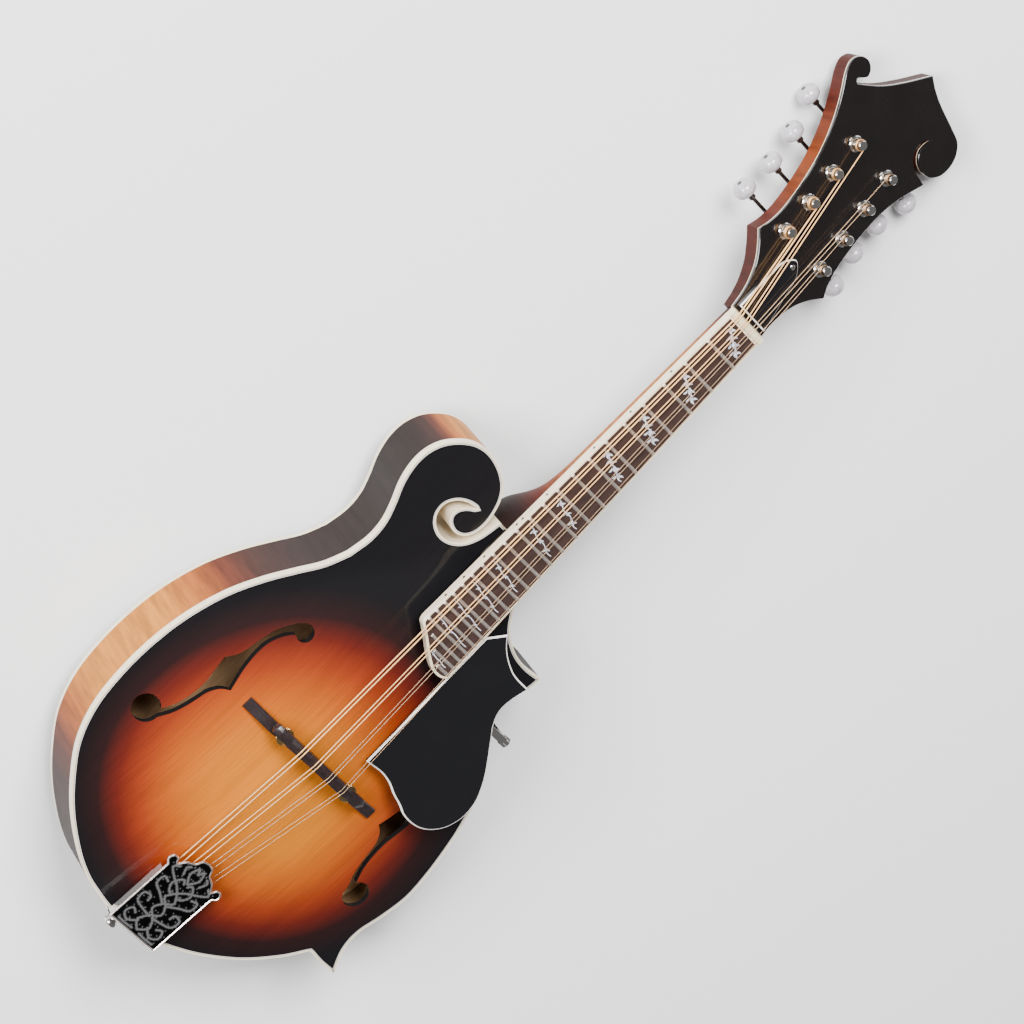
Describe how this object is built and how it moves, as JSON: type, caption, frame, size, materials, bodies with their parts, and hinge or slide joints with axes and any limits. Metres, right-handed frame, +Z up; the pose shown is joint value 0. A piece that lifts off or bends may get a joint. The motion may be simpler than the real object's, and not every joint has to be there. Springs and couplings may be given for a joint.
{
  "type": "mandolin",
  "caption": "Scroll-body mandolin with carved sunburst top, f-holes, bound fretboard, sliding tailpiece cover, height-adjustable bridge and geared tuners",
  "frame": {"origin": "centre of the bounding box in X and Y, at its lowest point in Z; the instrument lies on its back", "axes": "+X towards the treble side, +Y towards the headstock, +Z up out of the soundboard"},
  "size_m": [0.2548, 0.695, 0.0939],
  "materials": {
    "sunburst_top": "gloss lacquer over spruce, amber centre shading to red and near black",
    "flamed_maple": "gloss lacquer over flamed maple, amber to dark brown",
    "neck_maple": "gloss lacquer over maple, amber shaft and dark red ends",
    "bare_spruce": "bare planed spruce",
    "bare_maple": "bare planed maple",
    "ivoroid": "cream binding, polished",
    "rosewood": "oiled rosewood",
    "ebony": "dark oiled wood, satin",
    "black_lacquer": "black gloss lacquer on a wooden face",
    "black_plastic": "black sheet with a white edge line",
    "bone": "polished bone",
    "nickel": "polished nickel plate",
    "steel": "plain steel",
    "brass": "turned brass",
    "pearloid": "white pearloid buttons on steel shafts",
    "bronze_wound": "bronze wound over steel",
    "plain_steel": "bright plain steel wire"
  },
  "bodies": {
    "instrument": {"back_binding": "ivoroid", "back_lining": "bare_spruce", "back_plate": "flamed_maple", "bridge_base": "ebony", "bridge_post_bass": "brass", "bridge_post_treble": "brass", "end_pin": "nickel", "fretboard": "rosewood", "fretboard_binding": "ivoroid", "head_block": "bare_maple", "headstock_overlay": "black_lacquer", "lower_point_block": "bare_maple", "neck": "neck_maple", "nut": "bone", "pickguard": "black_plastic", "pickguard_bracket": "nickel", "ribs": "flamed_maple", "soundboard": "sunburst_top", "string_a1": "plain_steel", "string_a2": "plain_steel", "string_d1": "bronze_wound", "string_d2": "bronze_wound", "string_e1": "plain_steel", "string_e2": "plain_steel", "string_g1": "bronze_wound", "string_g2": "bronze_wound", "tail_block": "bare_maple", "tailpiece_base": "nickel", "tone_bar_bass": "bare_spruce", "tone_bar_treble": "bare_spruce", "top_binding": "ivoroid", "top_lining": "bare_spruce", "truss_rod": "steel", "truss_rod_cover": "black_plastic", "tuner_plate_bass": "nickel", "tuner_plate_treble": "nickel", "upper_point_block": "bare_maple"},
    "post_g1": {"tuner_post_g1": "nickel"},
    "key_g1": {"tuner_key_g1": "pearloid"},
    "post_g2": {"tuner_post_g2": "nickel"},
    "key_g2": {"tuner_key_g2": "pearloid"},
    "post_d1": {"tuner_post_d1": "nickel"},
    "key_d1": {"tuner_key_d1": "pearloid"},
    "post_d2": {"tuner_post_d2": "nickel"},
    "key_d2": {"tuner_key_d2": "pearloid"},
    "post_e1": {"tuner_post_e1": "nickel"},
    "key_e1": {"tuner_key_e1": "pearloid"},
    "post_e2": {"tuner_post_e2": "nickel"},
    "key_e2": {"tuner_key_e2": "pearloid"},
    "post_a2": {"tuner_post_a2": "nickel"},
    "key_a2": {"tuner_key_a2": "pearloid"},
    "post_a1": {"tuner_post_a1": "nickel"},
    "key_a1": {"tuner_key_a1": "pearloid"},
    "saddle": {"bridge_saddle": "ebony"},
    "wheel_bass": {"thumbwheel_bass": "brass"},
    "wheel_treble": {"thumbwheel_treble": "brass"},
    "cover": {"tailpiece_cover": "nickel"},
    "rod_nut": {"truss_rod_nut": "brass"},
    "guard_screw": {"bracket_screw": "nickel"}
  },
  "joints": [
    {"name": "key_g1_turn", "type": "hinge", "parent": "instrument", "child": "key_g1", "pos_m": [-0.02051, 0.22018, 0.02669], "axis": [1, 0, 0], "continuous": true},
    {"name": "post_g1_turn", "type": "hinge", "parent": "instrument", "child": "post_g1", "pos_m": [-0.02051, 0.21488, 0.02814], "axis": [0, 0.2639, 0.9646], "continuous": true},
    {"name": "key_g2_turn", "type": "hinge", "parent": "instrument", "child": "key_g2", "pos_m": [-0.01987, 0.24208, 0.0207], "axis": [1, 0, 0], "continuous": true},
    {"name": "post_g2_turn", "type": "hinge", "parent": "instrument", "child": "post_g2", "pos_m": [-0.01987, 0.23677, 0.02215], "axis": [0, 0.2639, 0.9646], "continuous": true},
    {"name": "key_d1_turn", "type": "hinge", "parent": "instrument", "child": "key_d1", "pos_m": [-0.01923, 0.26397, 0.01471], "axis": [1, 0, 0], "continuous": true},
    {"name": "post_d1_turn", "type": "hinge", "parent": "instrument", "child": "post_d1", "pos_m": [-0.01923, 0.25867, 0.01616], "axis": [0, 0.2639, 0.9646], "continuous": true},
    {"name": "key_d2_turn", "type": "hinge", "parent": "instrument", "child": "key_d2", "pos_m": [-0.01859, 0.28587, 0.00872], "axis": [1, 0, 0], "continuous": true},
    {"name": "post_d2_turn", "type": "hinge", "parent": "instrument", "child": "post_d2", "pos_m": [-0.01859, 0.28056, 0.01017], "axis": [0, 0.2639, 0.9646], "continuous": true},
    {"name": "key_e1_turn", "type": "hinge", "parent": "instrument", "child": "key_e1", "pos_m": [0.01529, 0.22018, 0.02669], "axis": [1, 0, 0], "continuous": true},
    {"name": "post_e1_turn", "type": "hinge", "parent": "instrument", "child": "post_e1", "pos_m": [0.01529, 0.21488, 0.02814], "axis": [0, 0.2639, 0.9646], "continuous": true},
    {"name": "key_e2_turn", "type": "hinge", "parent": "instrument", "child": "key_e2", "pos_m": [0.01465, 0.24208, 0.0207], "axis": [1, 0, 0], "continuous": true},
    {"name": "post_e2_turn", "type": "hinge", "parent": "instrument", "child": "post_e2", "pos_m": [0.01465, 0.23677, 0.02215], "axis": [0, 0.2639, 0.9646], "continuous": true},
    {"name": "key_a2_turn", "type": "hinge", "parent": "instrument", "child": "key_a2", "pos_m": [0.01401, 0.26397, 0.01471], "axis": [1, 0, 0], "continuous": true},
    {"name": "post_a2_turn", "type": "hinge", "parent": "instrument", "child": "post_a2", "pos_m": [0.01401, 0.25867, 0.01616], "axis": [0, 0.2639, 0.9646], "continuous": true},
    {"name": "key_a1_turn", "type": "hinge", "parent": "instrument", "child": "key_a1", "pos_m": [0.01337, 0.28587, 0.00872], "axis": [1, 0, 0], "continuous": true},
    {"name": "post_a1_turn", "type": "hinge", "parent": "instrument", "child": "post_a1", "pos_m": [0.01337, 0.28056, 0.01017], "axis": [0, 0.2639, 0.9646], "continuous": true},
    {"name": "saddle_height", "type": "slide", "parent": "instrument", "child": "saddle", "axis": [0, 0, 1], "range_m": [-0.002, 0]},
    {"name": "wheel_bass_turn", "type": "hinge", "parent": "saddle", "child": "wheel_bass", "pos_m": [-0.03161, -0.19159, 0.08187], "axis": [0, 0, 1], "range_deg": [-1440, 0]},
    {"name": "wheel_treble_turn", "type": "hinge", "parent": "saddle", "child": "wheel_treble", "pos_m": [0.02639, -0.19159, 0.08187], "axis": [0, 0, 1], "range_deg": [-1440, 0]},
    {"name": "cover_slide", "type": "slide", "parent": "instrument", "child": "cover", "axis": [0, 0.9968, 0.0802], "range_m": [0, 0.016]},
    {"name": "rod_nut_turn", "type": "hinge", "parent": "instrument", "child": "rod_nut", "pos_m": [-0.00261, 0.1642, 0.05377], "axis": [0, 0.998, -0.0628], "range_deg": [-180, 180]},
    {"name": "guard_screw_turn", "type": "hinge", "parent": "instrument", "child": "guard_screw", "pos_m": [0.08539, -0.10729, 0.06897], "axis": [1, 0, 0], "range_deg": [-360, 360]}
  ],
  "couplings": [
    {"joint": "post_g1_turn", "follows": "key_g1_turn", "ratio": 0.071429},
    {"joint": "post_g2_turn", "follows": "key_g2_turn", "ratio": 0.071429},
    {"joint": "post_d1_turn", "follows": "key_d1_turn", "ratio": 0.071429},
    {"joint": "post_d2_turn", "follows": "key_d2_turn", "ratio": 0.071429},
    {"joint": "post_e1_turn", "follows": "key_e1_turn", "ratio": 0.071429},
    {"joint": "post_e2_turn", "follows": "key_e2_turn", "ratio": 0.071429},
    {"joint": "post_a2_turn", "follows": "key_a2_turn", "ratio": 0.071429},
    {"joint": "post_a1_turn", "follows": "key_a1_turn", "ratio": 0.071429},
    {"joint": "saddle_height", "follows": "wheel_bass_turn", "m_per_rad": 0.000079577},
    {"joint": "wheel_treble_turn", "follows": "wheel_bass_turn", "ratio": 1}
  ]
}
